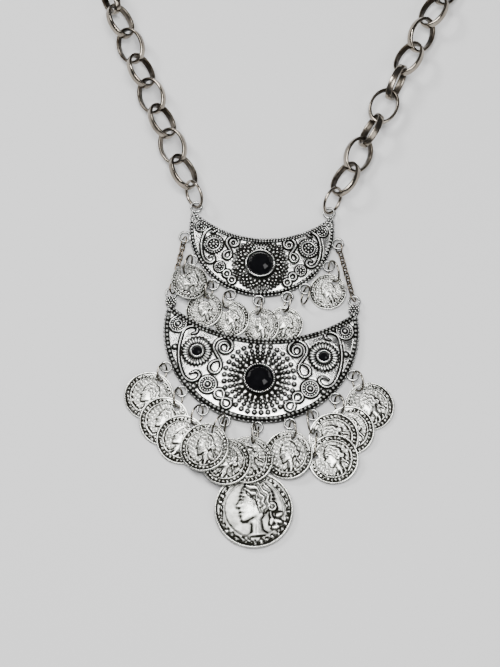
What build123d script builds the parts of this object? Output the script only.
from build123d import *
import os
from math import cos, pi, radians, sin, sqrt, tan

import numpy as np

# Coin necklace, lying on its back on a surface. The origin is the middle of the neck
# opening, on that surface; +Y points away from the pendant, +X to the right as the
# pendant is read, and +Z off the surface. Lengths are in millimetres, angles in degrees.

gap = 0.15                    # clearance between neighbouring pieces
floor_gap = 0.05              # what hangs or leans stays this far above the surface

# Upper plate: a crescent, part of a shallow dome on a round rim
upper_radius = 23.4
upper_neck_radius = 30.5      # of the concave neck edge
upper_neck_drop = 4.45        # from the plate's centre down to the middle of the neck edge
upper_edge = 2.4              # height of the round rim
upper_rise = 2.2              # the dome stands this much above its rim
upper_stone_radius = 4.2
upper_stone_drop = 13.0       # from the plate's centre down to the stone

# Lower plate
lower_radius = 31.2
lower_neck_radius = 44.0
lower_neck_drop = 4.0
lower_edge = 2.6
lower_rise = 3.0
lower_stone_radius = 4.4
lower_stone_drop = 17.4
lower_side_stone_radius = 1.6
plate_spacing = 35.9          # between the centres of the two plates
lower_shift = 1.3             # the lower plate lies this far to the right

wall = 1.5                    # thickness of the plates' domes
rim_width = 1.6
rim_height = 0.5
relief = 0.55                 # height of the ornaments above the dome
bezel_wall = 0.6
bezel_height = 1.0
stone_seat = 0.7              # depth of a stone's seat in the dome
stone_height = 1.9            # of a main stone above its girdle
stone_table = 0.42            # share of the stone's radius that the table takes

# Loops cast on the plates' edges
loop_radius = 1.7             # to the middle of the wire
loop_wire = 0.75
loop_height = 2.0             # of the loops' middle above the surface
loop_reach = 1.8              # from the plates' rims out to the coin loops
horn_loop_out = (21.74, 6.9)  # upper corner loop, from the upper plate's centre
lower_loop_out = (29.6, 11.95)
horn_radius = 1.7             # of the round horn under a corner loop of the lower plate
side_loop_angle = 8.9         # upper side loop, above the plate's centre

# Coins
small_coin_radius = 6.0
small_coin_thickness = 0.9
coin_radius = 8.0
coin_thickness = 1.0
big_coin_radius = 12.5
big_coin_thickness = 1.5
coin_hole = 2.2               # diameter
coin_margin = 1.9             # from a coin's edge to the middle of its hole
coin_relief = 0.3             # height of head, rim and marks, part of the thickness

# Jump rings
ring_wire = 0.7
empty_ring_reach = 5.4
empty_ring_lean = 24

# Main chain
link_length = 13.2
link_width = 9.6
strip_thickness = 1.0
strip_width = 2.2
link_slack = 1.4              # play between two links pulled apart
links_per_side = 22
strand_lean = 23.6            # of each strand, from the line through pendant and neck
corner_ring_reach = 7.8       # from the corner loop to the ring's place in the first link
corner_ring_play = 0.8        # between the ring and the end of the first link
corner_ring_wire = 1.0
clasp_length = 17.0
clasp_width = 7.0
clasp_thickness = 1.8
clasp_wall = 1.1

# Small chains between the plates
side_ring_diameter = 3.4
side_wire = 0.5
side_links = 8
side_link_width = 2.0
side_link_slack = 0.25

parts = []


def keep(builder, label):
    """Name a finished piece and keep it for export."""
    builder.part.label = label
    parts.append(builder.part)


def polar(centre, angle, reach):
    """A point at an angle and a distance from a centre, in the XY plane."""
    return centre[0] + reach * cos(radians(angle)), centre[1] + reach * sin(radians(angle))


# Route of the main chain: a straight strand from each corner ring, tangent to a round
# back whose radius follows from the number and the size of the links.
link_pitch = link_length - 2 * strip_thickness - link_slack
ring_in_link = link_length / 2 - strip_thickness - corner_ring_wire / 2 - corner_ring_play
first_link = corner_ring_reach + ring_in_link
last_link = first_link + (links_per_side - 1) * link_pitch
clasp_step = clasp_length / 2 - clasp_wall + link_length / 2 - strip_thickness - link_slack
route_length = last_link + clasp_step

lean = radians(strand_lean)
back_sweep = pi / 2 + lean
strand_length = (route_length - back_sweep * horn_loop_out[0] / cos(lean)) / (1 + back_sweep * tan(lean))
back_radius = (horn_loop_out[0] + strand_length * sin(lean)) / cos(lean)
corner_y = -back_radius * sin(lean) - strand_length * cos(lean)

upper_centre = (0.0, corner_y - horn_loop_out[1])
lower_centre = (lower_shift, upper_centre[1] - plate_spacing)


def route(distance):
    """Point and heading of the right strand at a distance from its corner loop."""
    if distance < strand_length:
        x = horn_loop_out[0] + distance * sin(lean)
        y = corner_y + distance * cos(lean)
        return (x, y), (sin(lean), cos(lean))
    turn = (distance - strand_length) / back_radius - lean
    return (back_radius * cos(turn), back_radius * sin(turn)), (-sin(turn), cos(turn))


# Roll of each link about its strand, from the pendant up; the ones past these lists lie
# alternately at the two rolls of the hidden stretch.
left_rolls = [36, -34, 36, -34, 36, -34, 36]
right_rolls = [-38, 34, -62, 9, 80, -30, 42, -32, 40]
hidden_rolls = (12, -70)
corner_ring_lean = 22
steepest_roll = radians(max(abs(roll) for roll in left_rolls + right_rolls + list(hidden_rolls)))
chain_height = floor_gap + link_width / 2 * sin(steepest_roll) + strip_width / 2 * cos(steepest_roll)


def link_plane(side, distance, roll):
    """Plane of a link: its x axis runs along the strand, its z axis is the link's normal."""
    (x, y), (dx, dy) = route(distance)
    across = Vector(dy, -dx * side, 0) if side > 0 else Vector(dy, dx, 0)
    heading = Vector(side * dx, dy, 0)
    normal = Vector(0, 0, 1) * cos(radians(roll)) + across * sin(radians(roll))
    return Plane(origin=(side * x, y, chain_height), x_dir=heading, z_dir=normal)


def chain(side, rolls):
    """One side's links, each an oval of flat strip that passes through its neighbours."""
    with BuildPart() as strand:
        for number in range(links_per_side):
            roll = rolls[number] if number < len(rolls) else hidden_rolls[number % 2]
            with BuildSketch(link_plane(side, first_link + number * link_pitch, roll)):
                Ellipse(link_length / 2, link_width / 2)
                Ellipse(link_length / 2 - strip_thickness, link_width / 2 - strip_thickness,
                        mode=Mode.SUBTRACT)
        extrude(amount=strip_width / 2, both=True)
    return strand


keep(chain(-1, left_rolls), "chain_left")
keep(chain(1, right_rolls), "chain_right")

# Clasp at the back: one plain flat piece with an eye at each end, lying level
clasp_plane = Plane(origin=(0, back_radius, chain_height))
clasp_eye = clasp_width - 2 * clasp_wall
with BuildPart() as clasp:
    with BuildSketch(clasp_plane):
        SlotOverall(clasp_length, clasp_width)
        with Locations((-(clasp_length - clasp_width) / 2, 0), ((clasp_length - clasp_width) / 2, 0)):
            Circle(clasp_eye / 2, mode=Mode.SUBTRACT)
    extrude(amount=clasp_thickness / 2, both=True)
    outer_edges = clasp.edges().filter_by(GeomType.LINE).filter_by(Axis.X)
    fillet(outer_edges, clasp_wall / 3)
keep(clasp, "clasp")


def torus_through(start, end, diameter, wire, lean_angle):
    """A round wire ring through two points, leaning about the line between them."""
    start, end = Vector(*start), Vector(*end)
    along = end - start
    half = along.length / 2
    along = along.normalized()
    level = Vector(-along.Y, along.X, 0).normalized()
    upright = level.cross(along)
    upright = upright if upright.Z > 0 else upright * -1
    aside = upright * cos(radians(lean_angle)) + level * sin(radians(lean_angle))
    centre = (start + end) * 0.5 + aside * sqrt(max((diameter / 2) ** 2 - half**2, 0))
    with BuildPart() as ring:
        with Locations(Plane(origin=centre, x_dir=along, z_dir=along.cross(aside))):
            Torus(diameter / 2, wire / 2)
    return ring


def hanging_diameter(start, end, wire, lean_angle):
    """Diameter of the smallest ring through two points that hangs clear of the surface."""
    rise = end[2] - start[2]
    chord = sqrt(sum((b - a) ** 2 for a, b in zip(start, end)))
    level = sqrt(chord**2 - rise**2) / chord
    diameter = np.linspace(chord + gap / 3, 1.4 * chord, 100)
    hang = np.sqrt(diameter**2 - chord**2) / 2
    middle = (start[2] + end[2]) / 2 + hang * level * cos(radians(lean_angle))
    lowest = middle - diameter / 2 * sqrt(1 - (sin(radians(lean_angle)) * level) ** 2) - wire / 2
    return float(diameter[np.argmax(lowest >= floor_gap)])


def hanging_ring(start, end, wire, lean_angle, label):
    """Make and keep the ring through two points."""
    diameter = hanging_diameter(start, end, wire, lean_angle)
    keep(torus_through(start, end, diameter, wire, lean_angle), label)


def long_link(start, end, height, wire):
    """A narrow oval link standing on edge, whose ends pass through two points."""
    start, end = Vector(*start), Vector(*end)
    along = (end - start).normalized()
    level = Vector(-along.Y, along.X, 0).normalized()
    side = Plane(origin=(start + end) * 0.5, x_dir=along, z_dir=level)
    length = (end - start).length
    with BuildPart() as link:
        with BuildLine(side) as path:
            run = length - height
            Line((-run / 2, height / 2), (run / 2, height / 2))
            ThreePointArc((run / 2, height / 2), (length / 2, 0), (run / 2, -height / 2))
            Line((run / 2, -height / 2), (-run / 2, -height / 2))
            ThreePointArc((-run / 2, -height / 2), (-length / 2, 0), (-run / 2, height / 2))
        with BuildSketch(Plane(origin=path.line @ 0, z_dir=path.line % 0)):
            Circle(wire / 2)
        sweep()
    return link


# Corner rings, from the upper corner loops into the first links
for name, side in (("left", -1), ("right", 1)):
    (ring_x, ring_y), _ = route(corner_ring_reach)
    loop_point = (side * horn_loop_out[0], corner_y, loop_height)
    link_point = (side * ring_x, ring_y, chain_height)
    hanging_ring(loop_point, link_point, corner_ring_wire, side * corner_ring_lean,
                 f"corner_ring_{name}")


def dome_radius(radius, rise):
    """Radius of the sphere of which a plate is a part."""
    return (radius**2 + rise**2) / (2 * rise)


def dome_height(radius, edge, rise, offset):
    """Height of a plate's dome at a distance from its centre."""
    sphere = dome_radius(radius, rise)
    return edge + rise - sphere + sqrt(sphere**2 - offset**2)


def outline(centre, radius, neck_radius, neck_drop, horns, loops, inset=0.0):
    """The crescent of a plate, with round horns and open corner loops."""
    with BuildSketch() as face:
        with Locations(centre):
            Circle(radius - inset)
        with Locations((centre[0], centre[1] - neck_drop + neck_radius)):
            Circle(neck_radius + inset, mode=Mode.SUBTRACT)
        if horns and horn_radius > inset:
            with Locations(*horns):
                Circle(horn_radius - inset)
        with Locations(*loops):
            Circle(loop_radius + inset, mode=Mode.SUBTRACT)
    return face.sketch


def mirrored(centre, scale, rows):
    """Places of an ornament on both halves of a plate, from shares of the plate's radius."""
    return [(centre[0] + s * scale * x, centre[1] + scale * y, scale * r)
            for x, y, r in rows for s in (-1, 1)]


# Ornaments of each plate: places and radii are shares of the plate's radius, and y runs
# towards the neck. Columns: x, y, radius.
upper_flowers = [(0.846, -0.020, 0.075), (0.556, -0.615, 0.070)]
upper_rosettes = [(0.658, -0.286, 0.132)]
upper_swirls = [(0.387, -0.256, 0.085)]
upper_rings = [(0.474, -0.444, 0.070), (0.453, -0.726, 0.056), (0.382, -0.830, 0.048)]
upper_scroll = [(0.700, -0.060), (0.775, -0.090), (0.835, -0.250), (0.815, -0.415),
                (0.720, -0.535), (0.650, -0.470)]
lower_flowers = [(0.862, 0.026, 0.092), (0.526, -0.628, 0.094)]
lower_rosettes = [(0.654, -0.279, 0.155)]
lower_swirls = [(0.375, -0.237, 0.105)]
lower_rings = [(0.460, -0.452, 0.072), (0.407, -0.744, 0.052), (0.320, -0.853, 0.056)]
lower_scroll = [(0.700, -0.085), (0.760, -0.045), (0.825, -0.165), (0.838, -0.355),
                (0.785, -0.520), (0.690, -0.560)]
lower_studs = [(0.885, -0.226, 0.024), (0.676, -0.651, 0.024)]

# Beaten rays round each main stone. Columns: shares of the stone's radius from the
# bezel out to the ray's two ends, the ray's width as a share, and the number of rays.
ray_rows = [(1.28, 1.56, 0.15, 20), (1.68, 1.92, 0.17, 20)]


def ornament(centre, radius, sphere, dome, top, tables, scroll, stone_drop, stone_radius):
    """All the raised ornaments of a plate, cut off by a dome one relief higher than its own."""
    flowers, rosettes, swirls, rings, studs = tables
    with BuildPart() as raised:
        with BuildSketch():
            for x, y, r in mirrored(centre, radius, flowers):
                with Locations((x, y)):
                    Circle(r)
                    Circle(0.78 * r, mode=Mode.SUBTRACT)
                    Circle(0.25 * r)
                    with PolarLocations(0.52 * r, 8):
                        Rectangle(0.34 * r, 0.14 * r)
            for x, y, r in mirrored(centre, radius, rosettes):
                with Locations((x, y)):
                    Circle(r)
                    Circle(0.84 * r, mode=Mode.SUBTRACT)
                    with PolarLocations(0.66 * r, 12):
                        Rectangle(0.24 * r, 0.13 * r)
                    Circle(0.50 * r)
                    Circle(0.36 * r, mode=Mode.SUBTRACT)
            for x, y, r in mirrored(centre, radius, swirls):
                with Locations((x, y)):
                    Circle(r)
                    Circle(0.76 * r, mode=Mode.SUBTRACT)
                    Circle(0.48 * r)
                    Circle(0.26 * r, mode=Mode.SUBTRACT)
            for x, y, r in mirrored(centre, radius, rings):
                with Locations((x, y)):
                    Circle(r)
                    Circle(0.62 * r, mode=Mode.SUBTRACT)
            for x, y, r in mirrored(centre, radius, studs):
                with Locations((x, y)):
                    Circle(r)
        extrude(amount=top)
        for s in (-1, 1):
            with BuildSketch():
                with BuildLine():
                    Spline([(centre[0] + s * radius * x, centre[1] + radius * y) for x, y in scroll])
                trace(line_width=0.024 * radius)
            extrude(amount=top)
        with BuildSketch():
            with Locations((centre[0], centre[1] - stone_drop)):
                for inner, outer, width, count in ray_rows:
                    with PolarLocations((inner + outer) / 2 * stone_radius, count):
                        SlotOverall((outer - inner) * stone_radius, width * stone_radius)
        extrude(amount=top)
        with Locations(dome):
            Sphere(sphere + relief, mode=Mode.INTERSECT)
    return raised


def plate(label, centre, radius, neck, edge, rise, horns, corner_loops, edge_loops, tables,
          scroll, stones):
    """A cast crescent plate: domed shell, foot along its round rim, raised rim, ornaments,
    bezels and loops, all one solid."""
    neck_radius, neck_drop = neck
    sphere = dome_radius(radius, rise)
    top = edge + rise
    dome = (centre[0], centre[1], top - sphere)
    tall = top + relief + rim_height
    stone_drop, stone_radius = stones[0][1], stones[0][2]
    details = ornament(centre, radius, sphere, dome, tall, tables, scroll, stone_drop, stone_radius)
    face = outline(centre, radius, neck_radius, neck_drop, horns, corner_loops)
    inner = outline(centre, radius, neck_radius, neck_drop, horns, corner_loops, rim_width)
    with BuildPart() as rim:
        with BuildSketch():
            add(face)
            add(inner, mode=Mode.SUBTRACT)
        extrude(amount=tall)
        with Locations(dome):
            Sphere(sphere + rim_height, mode=Mode.INTERSECT)
    with BuildPart() as hollow:
        with BuildSketch():
            with Locations(centre):
                Circle(radius - rim_width)
        extrude(amount=top)
        with Locations(dome):
            Sphere(sphere - wall, mode=Mode.INTERSECT)
    with BuildPart() as body:
        with BuildSketch():
            add(face)
        extrude(amount=tall)
        with Locations(dome):
            Sphere(sphere, mode=Mode.INTERSECT)
        add([rim.part, details.part])
        add(hollow.part, mode=Mode.SUBTRACT)
        for x, drop, stone_radius in stones:
            seat = dome_height(radius, edge, rise, sqrt(x**2 + drop**2))
            place = (centre[0] + x, centre[1] - drop)
            with BuildSketch(Plane.XY.offset(seat - wall)):
                with Locations(place):
                    Circle(stone_radius + gap + bezel_wall)
            extrude(amount=wall + bezel_height)
            with BuildSketch(Plane.XY.offset(seat - stone_seat)):
                with Locations(place):
                    Circle(stone_radius + gap)
            extrude(amount=stone_seat + bezel_height + relief, mode=Mode.SUBTRACT)
        with Locations(*[(x, y, loop_height) for x, y in corner_loops + edge_loops]):
            Torus(loop_radius, loop_wire / 2)
    keep(body, label)


def stone(label, centre, radius, edge, rise, x, drop, stone_radius, height):
    """A black cut stone: flat girdle, two rows of facets and a table, in its bezel."""
    seat = dome_height(radius, edge, rise, sqrt(x**2 + drop**2)) - stone_seat + gap / 3
    place = (centre[0] + x, centre[1] - drop)
    girdle = stone_seat + bezel_height * 0.6
    with BuildPart() as cut:
        with BuildSketch(Plane.XY.offset(seat)):
            with Locations(place):
                RegularPolygon(stone_radius, 12)
        extrude(amount=girdle)
        with BuildSketch(Plane.XY.offset(seat + girdle)):
            with Locations(place):
                RegularPolygon(stone_radius, 12)
        with BuildSketch(Plane.XY.offset(seat + girdle + height * 0.62)):
            with Locations(place):
                RegularPolygon(stone_radius * (1 + stone_table) / 2, 12)
        with BuildSketch(Plane.XY.offset(seat + girdle + height)):
            with Locations(place):
                RegularPolygon(stone_radius * stone_table, 12)
        loft(ruled=True)
    keep(cut, label)


def rim_points(centre, radius, reach, angles):
    """Places round a plate's rim, at angles below its centre line on the left and right."""
    left = [polar(centre, 180 + angle, radius + reach) for angle in angles]
    right = [polar(centre, -angle, radius + reach) for angle in reversed(angles)]
    return left + right


upper_loop_angles = [28.2, 53.7, 68.4]
lower_loop_angles = [24.6, 41.6, 57.8, 71.6]
upper_coin_loops = rim_points(upper_centre, upper_radius, loop_reach, upper_loop_angles)
upper_coin_loops.insert(3, polar(upper_centre, -90, upper_radius + loop_reach))
lower_coin_loops = rim_points(lower_centre, lower_radius, loop_reach, lower_loop_angles)
lower_coin_loops.insert(4, polar(lower_centre, -90, lower_radius + loop_reach))
upper_side_loops = [polar(upper_centre, angle, upper_radius + loop_reach)
                    for angle in (180 + side_loop_angle, -side_loop_angle)]
upper_corners = [(s * horn_loop_out[0], corner_y) for s in (-1, 1)]
lower_corners = [(lower_centre[0] + s * lower_loop_out[0], lower_centre[1] + lower_loop_out[1])
                 for s in (-1, 1)]
lower_horns = [(x, y - loop_radius - horn_radius + loop_wire / 2) for x, y in lower_corners]

upper_tables = (upper_flowers, upper_rosettes, upper_swirls, upper_rings, [])
lower_tables = (lower_flowers, lower_rosettes, lower_swirls, lower_rings, lower_studs)
side_stone = [share * lower_radius for share in lower_rosettes[0][:2]]
lower_stones = [(0.0, lower_stone_drop, lower_stone_radius),
                (-side_stone[0], -side_stone[1], lower_side_stone_radius),
                (side_stone[0], -side_stone[1], lower_side_stone_radius)]

plate("upper_plate", upper_centre, upper_radius, (upper_neck_radius, upper_neck_drop),
      upper_edge, upper_rise, [], upper_corners, upper_side_loops + upper_coin_loops,
      upper_tables, upper_scroll, [(0.0, upper_stone_drop, upper_stone_radius)])
plate("lower_plate", lower_centre, lower_radius, (lower_neck_radius, lower_neck_drop),
      lower_edge, lower_rise, lower_horns, lower_corners, lower_coin_loops,
      lower_tables, lower_scroll, lower_stones)

stone("upper_stone", upper_centre, upper_radius, upper_edge, upper_rise, 0.0, upper_stone_drop,
      upper_stone_radius, stone_height)
lower_stone_names = ("lower_stone", "lower_left_stone", "lower_right_stone")
for name, (x, drop, stone_radius) in zip(lower_stone_names, lower_stones):
    stone(name, lower_centre, lower_radius, lower_edge, lower_rise, x, drop, stone_radius,
          stone_height * stone_radius / lower_stone_radius)


class Disc:
    """A coin's place: the middle of its underside, its two slopes, radius and thickness."""

    def __init__(self, centre, radius, thickness):
        self.centre = centre
        self.radius = radius
        self.thickness = thickness
        self.height = 0.0
        self.slope = (0.0, 0.0)

    def under(self, x, y):
        """Height of the underside at a place."""
        return self.height + self.slope[0] * (x - self.centre[0]) + self.slope[1] * (y - self.centre[1])

    def top(self, x, y):
        """Height of the upper side at a place."""
        return self.under(x, y) + self.thickness * sqrt(1 + self.slope[0] ** 2 + self.slope[1] ** 2)

    def edge(self):
        """Places round the coin's edge."""
        turn = np.linspace(0, 2 * pi, 48, endpoint=False)
        return self.centre[0] + self.radius * np.cos(turn), self.centre[1] + self.radius * np.sin(turn)

    def covers(self, x, y):
        """Which places lie under the coin."""
        return np.hypot(x - self.centre[0], y - self.centre[1]) <= self.radius + gap


def lay(disc, hole, prop, coins_below, bars_below):
    """Lay a coin down: of all its tilts that clear the surface, the prop under its hole and
    what lies below it, take the one in which its middle lies lowest."""
    edge_x, edge_y = disc.edge()
    places = [(edge_x, edge_y, np.full(edge_x.shape, floor_gap)),
              (np.array([hole[0]]), np.array([hole[1]]), prop)]
    for other in coins_below:
        for (x, y), over in ((disc.edge(), other), (other.edge(), disc)):
            kept = over.covers(x, y)
            places.append((x[kept], y[kept], other.top(x[kept], y[kept]) + gap))
    for start, end in bars_below:
        x, y, height = np.linspace(start, end, 40).T
        kept = disc.covers(x, y)
        places.append((x[kept], y[kept], height[kept] + gap))
    x = np.concatenate([place[0] for place in places]) - disc.centre[0]
    y = np.concatenate([place[1] for place in places]) - disc.centre[1]
    needed = np.concatenate([np.broadcast_to(place[2], place[0].shape) for place in places])
    slope_x, slope_y = np.meshgrid(np.linspace(-0.4, 0.4, 81), np.linspace(-0.4, 0.4, 81))
    across = x[:, None, None] * slope_x + y[:, None, None] * slope_y
    heights = (needed[:, None, None] - across).max(axis=0)
    best = np.unravel_index(heights.argmin(), heights.shape)
    disc.height = float(heights[best])
    disc.slope = (float(slope_x[best]), float(slope_y[best]))


# Head of a coin, facing left, in shares of the coin's radius about its middle.
# Columns: x, y, half width, half height and tilt of each rounded mass.
head_masses = [
    (0.05, 0.16, 0.27, 0.29, 0),
    (-0.08, 0.06, 0.19, 0.27, 8),
    (0.04, -0.22, 0.14, 0.22, -6),
    (0.34, 0.02, 0.09, 0.10, 0),
    (0.02, -0.46, 0.34, 0.13, 4),
]
head_nose = [(-0.22, 0.16), (-0.33, 0.00), (-0.20, -0.05)]
coin_rim_share = 0.94
coin_line_share = 0.72
coin_line_width = 0.03
coin_marks = 24
mark_length = 0.12
mark_width = 0.05


def struck_coin(radius, thickness):
    """A coin lying flat at the origin: raised rim, a ring of plain marks, a line and a head."""
    field = thickness - coin_relief
    with BuildPart() as blank:
        with BuildSketch():
            Circle(radius)
        extrude(amount=field)
        with BuildSketch(Plane.XY.offset(field)):
            Circle(radius)
            Circle(radius * coin_rim_share, mode=Mode.SUBTRACT)
            for x, y, half_width, half_height, tilt in head_masses:
                with Locations(Location((x * radius, y * radius, 0), (0, 0, tilt))):
                    Ellipse(half_width * radius, half_height * radius)
            with BuildLine():
                Polyline([(x * radius, y * radius) for x, y in head_nose], close=True)
            make_face()
        extrude(amount=coin_relief)
        with BuildSketch(Plane.XY.offset(field)):
            Circle(radius * (coin_line_share + coin_line_width / 2))
            Circle(radius * (coin_line_share - coin_line_width / 2), mode=Mode.SUBTRACT)
            with PolarLocations(radius * (coin_rim_share + coin_line_share) / 2, coin_marks):
                Rectangle(mark_length * radius, mark_width * radius)
        extrude(amount=coin_relief * 0.6)
    return blank.part


def coin(label, blank, disc, hole, hole_width, turn):
    """One coin where it lies, its head turned about the coin's middle, drilled for its ring."""
    normal = Vector(-disc.slope[0], -disc.slope[1], 1).normalized()
    right = Vector(cos(radians(turn)), sin(radians(turn)), 0)
    right = (right - normal * right.dot(normal)).normalized()
    back = Plane(origin=(*disc.centre, disc.height), x_dir=right, z_dir=normal)
    drilled = back.to_local_coords(Vector(*hole, disc.under(*hole)))
    with BuildPart() as struck:
        with Locations(back):
            add(blank)
        with BuildSketch(back):
            with Locations((drilled.X, drilled.Y)):
                Circle(hole_width / 2)
        extrude(amount=disc.thickness, mode=Mode.SUBTRACT)
    keep(struck, label)


# Runs of the small side chains, from an upper side loop to a lower corner loop, and the
# height of their links' tops, on which a coin may lie
side_chain_runs = {"left": (upper_side_loops[0], lower_corners[0]),
                   "right": (upper_side_loops[1], lower_corners[1])}
side_chain_top = loop_height + (side_ring_diameter + side_wire) / 2
bars = {f"side_chain_{name}": ((*start, side_chain_top), (*end, side_chain_top))
        for name, (start, end) in side_chain_runs.items()}

# How each coin lies, from the lowest to the topmost. Columns: name, the loop that it hangs
# from, the ring's heading from the loop, its reach, its offset in the loop and its lean
# from upright, the heading from the coin's hole to its middle, the turn of its head, and
# what it lies on.
upper_coins = [
    ("upper_coin_5", 4, -99, 5.4, 0, 20, -87, -10, []),
    ("upper_coin_4", 3, -92, 4.9, 0, 20, -71, 10, ["upper_coin_5"]),
    ("upper_coin_3", 2, -105, 5.0, 0, -24, -61, 15, ["upper_coin_4"]),
    ("upper_coin_2", 1, -112, 5.2, 0, -20, -97, 20, ["upper_coin_3"]),
    ("upper_coin_1", 0, -116, 5.6, 0, -14, -60, -20, ["upper_coin_2", "side_chain_left"]),
    ("upper_coin_6", 6, -66, 5.9, 0, 18, -124, 25, []),
]
lower_coins = [
    ("lower_coin_1", 0, -108, 5.2, 0, -24, -124, -15, []),
    ("lower_coin_2", 1, -101, 5.8, 0, -24, -130, -20, ["lower_coin_1"]),
    ("lower_coin_3", 2, -118, 6.0, 0, -24, -125, -30, ["lower_coin_2"]),
    ("lower_coin_11", 8, -68, 5.6, 0, 24, -55, 40, []),
    ("lower_coin_10", 7, -70, 5.6, 0, 24, -62, 20, ["lower_coin_11"]),
    ("lower_coin_9", 6, -82, 6.6, 0, -20, -8, 60, ["lower_coin_10"]),
    ("lower_coin_8", "lower_coin_9", -89, 7.7, 0.6, 0, -5, 30, ["lower_coin_9"]),
    ("big_coin", 4, -91, 17.2, 0.5, 0, -88, 5, []),
    ("lower_coin_7", 5, -72, 5.1, 0, 20, -106, 10, ["lower_coin_8", "link_lower_coin_8"]),
    ("lower_coin_6", 4, -103, 6.0, -0.5, -8, -99, 35, ["big_coin", "link_big_coin", "lower_coin_7"]),
    ("lower_coin_5", 3, -93, 8.7, 0.5, 0, -75, -15, ["lower_coin_6", "link_big_coin"]),
    ("lower_coin_4", 3, -129, 6.0, -0.5, -8, -110, 0,
     ["lower_coin_3", "lower_coin_5", "link_lower_coin_5"]),
]

# Heights of the long links that stand on edge, and the coin that a second one hangs from:
# its hole is wider, and its ring lies aside in it by this much.
long_links = {"lower_coin_8": 4.3, "big_coin": 2.7, "lower_coin_5": 2.9}
carrier = "lower_coin_9"
carried_lift = floor_gap + (long_links["lower_coin_8"] + ring_wire) / 2
carrier_hole = 2.9
carrier_shift = 0.6

discs = {}
holes = {}


def hang(rows, loops, blanks):
    """Lay the coins of a table in its order, and make each with its ring or long link."""
    for name, loop, heading, reach, aside, ring_lean, arm, turn, below in rows:
        radius, thickness, blank = blanks.get(name, blanks["usual"])
        if isinstance(loop, str):
            point = (*holes[loop], discs[loop].under(*holes[loop]) + discs[loop].thickness / 2)
        else:
            point = (*loops[loop], loop_height)
        start = (*polar(point, heading + 90, aside), point[2])
        hole = polar(point, heading, reach)
        half_link = (long_links.get(name, 0) + ring_wire) / 2
        disc = Disc(polar(hole, arm, radius - coin_margin), radius, thickness)
        lift = carried_lift if name == carrier else floor_gap + half_link
        lay(disc, hole, max(loop_height, lift) - thickness / 2,
            [discs[other] for other in below if other in discs],
            [bars[other] for other in below if other in bars])
        discs[name] = disc
        holes[name] = hole
        coin(name, blank, disc, hole, carrier_hole if name == carrier else coin_hole, turn)
        shift = carrier_shift if name == carrier else 0
        end = (*polar(hole, heading + 90, -shift), disc.under(*hole) + thickness / 2)
        if name in long_links:
            keep(long_link(start, end, long_links[name], ring_wire), f"link_{name}")
            bars[f"link_{name}"] = ((*start[:2], start[2] + half_link), (*end[:2], end[2] + half_link))
        else:
            hanging_ring(start, end, ring_wire, ring_lean, f"ring_{name}")


small_blank = struck_coin(small_coin_radius, small_coin_thickness)
usual_blank = struck_coin(coin_radius, coin_thickness)
big_blank = struck_coin(big_coin_radius, big_coin_thickness)
hang(upper_coins, upper_coin_loops,
     {"usual": (small_coin_radius, small_coin_thickness, small_blank)})
hang(lower_coins, lower_coin_loops,
     {"usual": (coin_radius, coin_thickness, usual_blank),
      "big_coin": (big_coin_radius, big_coin_thickness, big_blank)})

# An empty ring in the sixth loop of the upper plate
empty_loop = upper_coin_loops[5]
empty_start = (*empty_loop, loop_height)
empty_end = (*polar(empty_loop, -97, empty_ring_reach), loop_height)
hanging_ring(empty_start, empty_end, ring_wire, empty_ring_lean, "ring_empty")


def oval(link, length, width):
    """Closed oval path on a link's plane, from the middle of its wire."""
    straight = length - width
    half = width / 2
    with BuildLine(link) as path:
        Line((-straight / 2, half), (straight / 2, half))
        ThreePointArc((straight / 2, half), (straight / 2 + half, 0), (straight / 2, -half))
        Line((straight / 2, -half), (-straight / 2, -half))
        ThreePointArc((-straight / 2, -half), (-straight / 2 - half, 0), (-straight / 2, half))
    return path.line


def side_chain(name, start, end):
    """A straight row of small oval links, with a round ring in the loop at each end."""
    start, end = Vector(*start, loop_height), Vector(*end, loop_height)
    heading = (end - start).normalized()
    across = Vector(heading.Y, -heading.X, 0)
    first = side_ring_diameter - side_wire - gap
    pitch = ((end - start).length - 2 * first - side_link_slack - side_wire) / side_links
    length = pitch + side_link_slack + side_wire
    rings = [(start + heading * side_ring_diameter / 2, 62),
             (end - heading * side_ring_diameter / 2, -62)]
    with BuildPart() as row:
        for centre, roll in rings:
            normal = Vector(0, 0, 1) * cos(radians(roll)) + across * sin(radians(roll))
            with Locations(Plane(origin=centre, x_dir=heading, z_dir=normal)):
                Torus(side_ring_diameter / 2, side_wire / 2)
        for number in range(side_links):
            roll = -32 if number % 2 == 0 else 52
            normal = Vector(0, 0, 1) * cos(radians(roll)) + across * sin(radians(roll))
            centre = start + heading * (first + length / 2 + pitch * number)
            link = Plane(origin=centre, x_dir=heading, z_dir=normal)
            path = oval(link, length, side_link_width - side_wire)
            with BuildSketch(Plane(origin=path @ 0, z_dir=path % 0)):
                Circle(side_wire / 2)
            sweep(path=path)
    keep(row, f"side_chain_{name}")


for name, (start, end) in side_chain_runs.items():
    side_chain(name, start, end)

os.makedirs("parts", exist_ok=True)
for piece in parts:
    export_step(piece, f"parts/{piece.label}.step")
